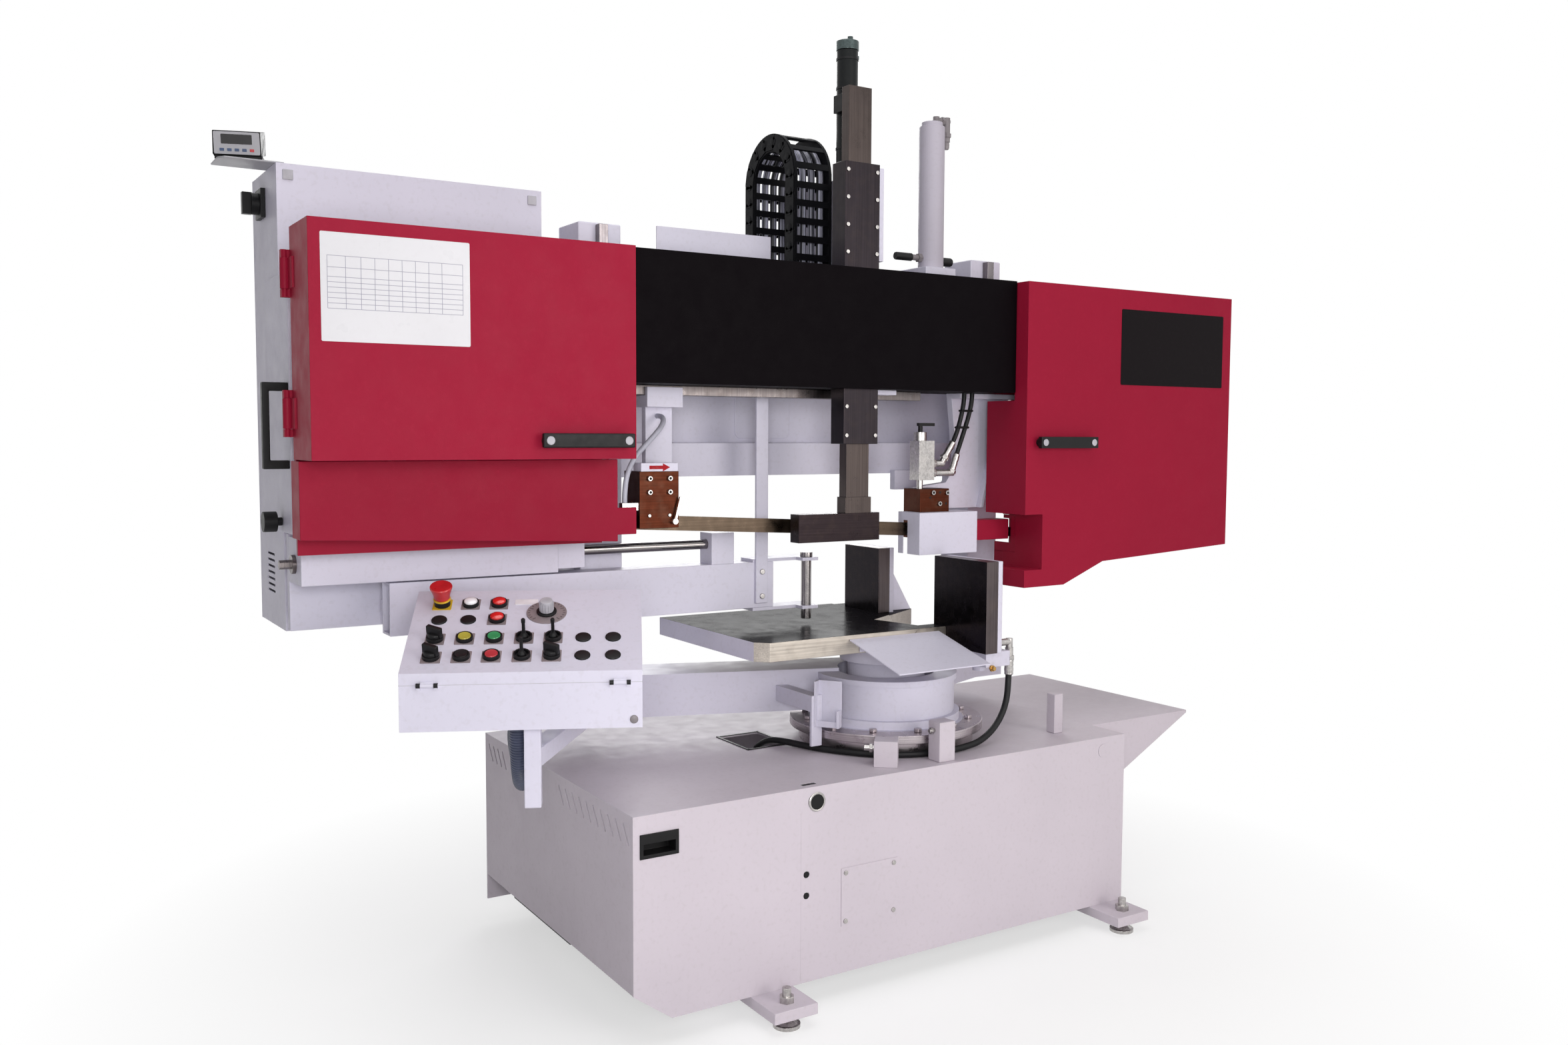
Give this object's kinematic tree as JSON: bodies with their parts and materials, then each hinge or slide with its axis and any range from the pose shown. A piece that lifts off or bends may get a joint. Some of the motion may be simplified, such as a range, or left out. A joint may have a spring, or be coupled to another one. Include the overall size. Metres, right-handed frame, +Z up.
{
  "type": "mitre band saw",
  "caption": "Swivelling portal band saw for metal: sheet base, table with vice, lifting saw head with doors, hold-down, cabinet and operator console.",
  "frame": {"origin": "middle of the machine's box on the floor", "axes": "+X along the saw head to the operator's right, +Y to the back, +Z up"},
  "size_m": [2.6863, 1.1379, 2.25],
  "materials": {
    "base_cabinet": "light grey paint",
    "levelling_feet": "ground steel",
    "slew_ring": "ground steel",
    "centre_pillar": "satin white paint",
    "recessed_pull": "black plastic",
    "hydraulic_unit": "satin black paint",
    "table": "ground steel",
    "fixed_jaws": "dark hardened steel",
    "pressure_hose": "black hose",
    "swivel_frame": "satin white paint",
    "columns": "satin white paint",
    "cross_frame": "satin white paint",
    "steel_guides": "ground steel",
    "lift_cylinder": "satin white paint",
    "vice_mount": "satin white paint",
    "cabinet": "satin white paint",
    "side_fittings": "black plastic",
    "display_unit": "black plastic",
    "console_box": "satin white paint",
    "console_conduit": "grey plastic",
    "hold_post": "ground steel",
    "hold_cylinder": "satin black paint",
    "energy_chain": "black plastic",
    "vice_beam": "satin white paint",
    "jaw_bar": "ground steel",
    "cabinet_door": "satin white paint",
    "main_switch": "red plastic",
    "side_knob": "black plastic",
    "head_beam": "satin black paint",
    "wheel_housings": "satin white paint",
    "carriages": "ground steel",
    "left_lower_cover": "fine textured crimson paint",
    "blade_guard": "satin white paint",
    "right_guide": "brown bronze",
    "saw_band": "ground steel",
    "gear_motor": "satin black paint",
    "lube_hoses": "black hose",
    "left_door": "fine textured crimson paint",
    "right_door": "fine textured crimson paint",
    "left_wheel": "machined iron",
    "right_wheel": "machined iron",
    "guide_arm": "satin white paint",
    "left_guide": "brown bronze",
    "guide_hose": "clear grey hose",
    "guide_lever": "ground steel",
    "valve_lever": "dark hardened steel",
    "console_lid": "grey plastic",
    "console_fittings": "black plastic",
    "button_yellow": "yellow plastic",
    "button_green": "green plastic",
    "button_black": "black plastic",
    "button_red": "red plastic",
    "selector_a": "black plastic",
    "selector_b": "black plastic",
    "selector_c": "black plastic",
    "toggle_a": "black plastic",
    "toggle_b": "black plastic",
    "toggle_c": "black plastic",
    "emergency_stop": "red plastic",
    "dial_knob": "grey plastic"
  },
  "bodies": {
    "base": {"base_cabinet": "base_cabinet", "levelling_feet": "levelling_feet", "slew_ring": "slew_ring", "centre_pillar": "centre_pillar", "recessed_pull": "recessed_pull", "hydraulic_unit": "hydraulic_unit", "table": "table", "fixed_jaws": "fixed_jaws", "pressure_hose": "pressure_hose"},
    "portal": {"swivel_frame": "swivel_frame", "columns": "columns", "cross_frame": "cross_frame", "steel_guides": "steel_guides", "lift_cylinder": "lift_cylinder", "vice_mount": "vice_mount", "cabinet": "cabinet", "side_fittings": "side_fittings", "display_unit": "display_unit", "console_box": "console_box", "console_conduit": "console_conduit"},
    "hold_down": {"hold_post": "hold_post", "hold_cylinder": "hold_cylinder"},
    "chain": {"energy_chain": "energy_chain"},
    "vice": {"vice_beam": "vice_beam"},
    "jaw_bar": {"jaw_bar": "jaw_bar"},
    "cabinet_door": {"cabinet_door": "cabinet_door"},
    "main_switch": {"main_switch": "main_switch"},
    "side_knob": {"side_knob": "side_knob"},
    "head": {"head_beam": "head_beam", "wheel_housings": "wheel_housings", "carriages": "carriages", "left_lower_cover": "left_lower_cover", "blade_guard": "blade_guard", "right_guide": "right_guide", "saw_band": "saw_band", "gear_motor": "gear_motor", "lube_hoses": "lube_hoses"},
    "left_door": {"left_door": "left_door"},
    "right_door": {"right_door": "right_door"},
    "left_wheel": {"left_wheel": "left_wheel"},
    "right_wheel": {"right_wheel": "right_wheel"},
    "guide": {"guide_arm": "guide_arm", "left_guide": "left_guide", "guide_hose": "guide_hose"},
    "guide_lever": {"guide_lever": "guide_lever"},
    "valve_lever": {"valve_lever": "valve_lever"},
    "console_lid": {"console_lid": "console_lid", "console_fittings": "console_fittings"},
    "button_yellow": {"button_yellow": "button_yellow"},
    "button_green": {"button_green": "button_green"},
    "button_black": {"button_black": "button_black"},
    "button_red": {"button_red": "button_red"},
    "selector_a": {"selector_a": "selector_a"},
    "selector_b": {"selector_b": "selector_b"},
    "selector_c": {"selector_c": "selector_c"},
    "toggle_a": {"toggle_a": "toggle_a"},
    "toggle_b": {"toggle_b": "toggle_b"},
    "toggle_c": {"toggle_c": "toggle_c"},
    "emergency_stop": {"emergency_stop": "emergency_stop"},
    "dial_knob": {"dial_knob": "dial_knob"}
  },
  "joints": [
    {"name": "swivel", "type": "hinge", "parent": "base", "child": "portal", "pos_m": [0.1961, -0.0975, 0.6], "axis": [0, 0, 1], "range_deg": [-44, 30]},
    {"name": "head_slide", "type": "slide", "parent": "portal", "child": "head", "axis": [0, 0, -1], "range_m": [0, 0.215]},
    {"name": "chain_slide", "type": "slide", "parent": "portal", "child": "chain", "axis": [0, 0, -1], "range_m": [0, 0.1075]},
    {"name": "hold_slide", "type": "slide", "parent": "portal", "child": "hold_down", "axis": [0, 0, 1], "range_m": [-0.2, 0]},
    {"name": "vice_slide", "type": "slide", "parent": "portal", "child": "vice", "axis": [1, 0, 0], "range_m": [-0.2, 0.24]},
    {"name": "jaw_bar_turn", "type": "hinge", "parent": "vice", "child": "jaw_bar", "pos_m": [0.0191, 0.0125, 0.89], "axis": [0, 0, 1], "continuous": true},
    {"name": "cabinet_door_hinge", "type": "hinge", "parent": "portal", "child": "cabinet_door", "pos_m": [-0.6146, 0.4425, 1.347], "axis": [0, 0, 1], "range_deg": [-100, 0]},
    {"name": "main_switch_turn", "type": "hinge", "parent": "portal", "child": "main_switch", "pos_m": [-1.2439, 0.3425, 1.784], "axis": [1, 0, 0], "range_deg": [0, 90]},
    {"name": "side_knob_turn", "type": "hinge", "parent": "portal", "child": "side_knob", "pos_m": [-1.2439, 0.1645, 1.085], "axis": [1, 0, 0], "continuous": true},
    {"name": "left_door_hinge", "type": "hinge", "parent": "head", "child": "left_door", "pos_m": [-1.2679, -0.0905, 1.45], "axis": [0, 0, 1], "range_deg": [-85, 0]},
    {"name": "right_door_hinge", "type": "hinge", "parent": "head", "child": "right_door", "pos_m": [1.3341, -0.0905, 1.3], "axis": [0, 0, 1], "range_deg": [0, 85]},
    {"name": "right_wheel_turn", "type": "hinge", "parent": "head", "child": "right_wheel", "pos_m": [0.9331, -0.0975, 1.26142], "axis": [0, 1, 0], "continuous": true},
    {"name": "left_wheel_turn", "type": "hinge", "parent": "head", "child": "left_wheel", "pos_m": [-0.9259, -0.0975, 1.36404], "axis": [0, 1, 0], "continuous": true},
    {"name": "guide_slide", "type": "slide", "parent": "head", "child": "guide", "axis": [1, 0, 0], "range_m": [0, 0.28]},
    {"name": "guide_lever_turn", "type": "hinge", "parent": "guide", "child": "guide_lever", "pos_m": [-0.4434, -0.1435, 1.07796], "axis": [0, 1, 0], "range_deg": [-60, 30]},
    {"name": "valve_lever_turn", "type": "hinge", "parent": "head", "child": "valve_lever", "pos_m": [0.2941, -0.1055, 1.29], "axis": [0, 0, 1], "range_deg": [0, 90]},
    {"name": "console_lid_hinge", "type": "hinge", "parent": "portal", "child": "console_lid", "pos_m": [-0.93879, -0.47547, 0.80811], "axis": [0.9026, -0.4305, 0], "range_deg": [0, 75]},
    {"name": "emergency_stop_press", "type": "slide", "parent": "console_lid", "child": "emergency_stop", "axis": [-0.1876, -0.3934, 0.9], "range_m": [-0.006, 0]},
    {"name": "dial_turn", "type": "hinge", "parent": "console_lid", "child": "dial_knob", "pos_m": [-0.82691, -0.32453, 0.91417], "axis": [-0.1876, -0.3934, 0.9], "range_deg": [-140, 140]},
    {"name": "button_yellow_press", "type": "slide", "parent": "console_lid", "child": "button_yellow", "axis": [-0.1876, -0.3934, 0.9], "range_m": [-0.004, 0], "stiffness_N_per_m": 300},
    {"name": "button_green_press", "type": "slide", "parent": "console_lid", "child": "button_green", "axis": [-0.1876, -0.3934, 0.9], "range_m": [-0.004, 0], "stiffness_N_per_m": 300},
    {"name": "button_black_press", "type": "slide", "parent": "console_lid", "child": "button_black", "axis": [-0.1876, -0.3934, 0.9], "range_m": [-0.004, 0], "stiffness_N_per_m": 300},
    {"name": "button_red_press", "type": "slide", "parent": "console_lid", "child": "button_red", "axis": [-0.1876, -0.3934, 0.9], "range_m": [-0.004, 0], "stiffness_N_per_m": 300},
    {"name": "selector_a_turn", "type": "hinge", "parent": "console_lid", "child": "selector_a", "pos_m": [-1.04913, -0.30728, 0.87538], "axis": [-0.1876, -0.3934, 0.9], "range_deg": [-45, 45]},
    {"name": "selector_b_turn", "type": "hinge", "parent": "console_lid", "child": "selector_b", "pos_m": [-1.07238, -0.35602, 0.84923], "axis": [-0.1876, -0.3934, 0.9], "range_deg": [-45, 45]},
    {"name": "selector_c_turn", "type": "hinge", "parent": "console_lid", "child": "selector_c", "pos_m": [-0.8693, -0.45289, 0.84923], "axis": [-0.1876, -0.3934, 0.9], "range_deg": [-45, 45]},
    {"name": "toggle_a_tilt", "type": "hinge", "parent": "console_lid", "child": "toggle_a", "pos_m": [-0.8981, -0.38318, 0.88258], "axis": [0.9026, -0.4305, 0], "range_deg": [-18, 18]},
    {"name": "toggle_b_tilt", "type": "hinge", "parent": "console_lid", "child": "toggle_b", "pos_m": [-0.84755, -0.40729, 0.88258], "axis": [0.9026, -0.4305, 0], "range_deg": [-18, 18]},
    {"name": "toggle_c_tilt", "type": "hinge", "parent": "console_lid", "child": "toggle_c", "pos_m": [-0.92135, -0.43193, 0.85643], "axis": [0.9026, -0.4305, 0], "range_deg": [-18, 18]}
  ],
  "couplings": [
    {"joint": "chain_slide", "follows": "head_slide", "ratio": 0.5},
    {"joint": "left_wheel_turn", "follows": "right_wheel_turn", "ratio": 1}
  ]
}
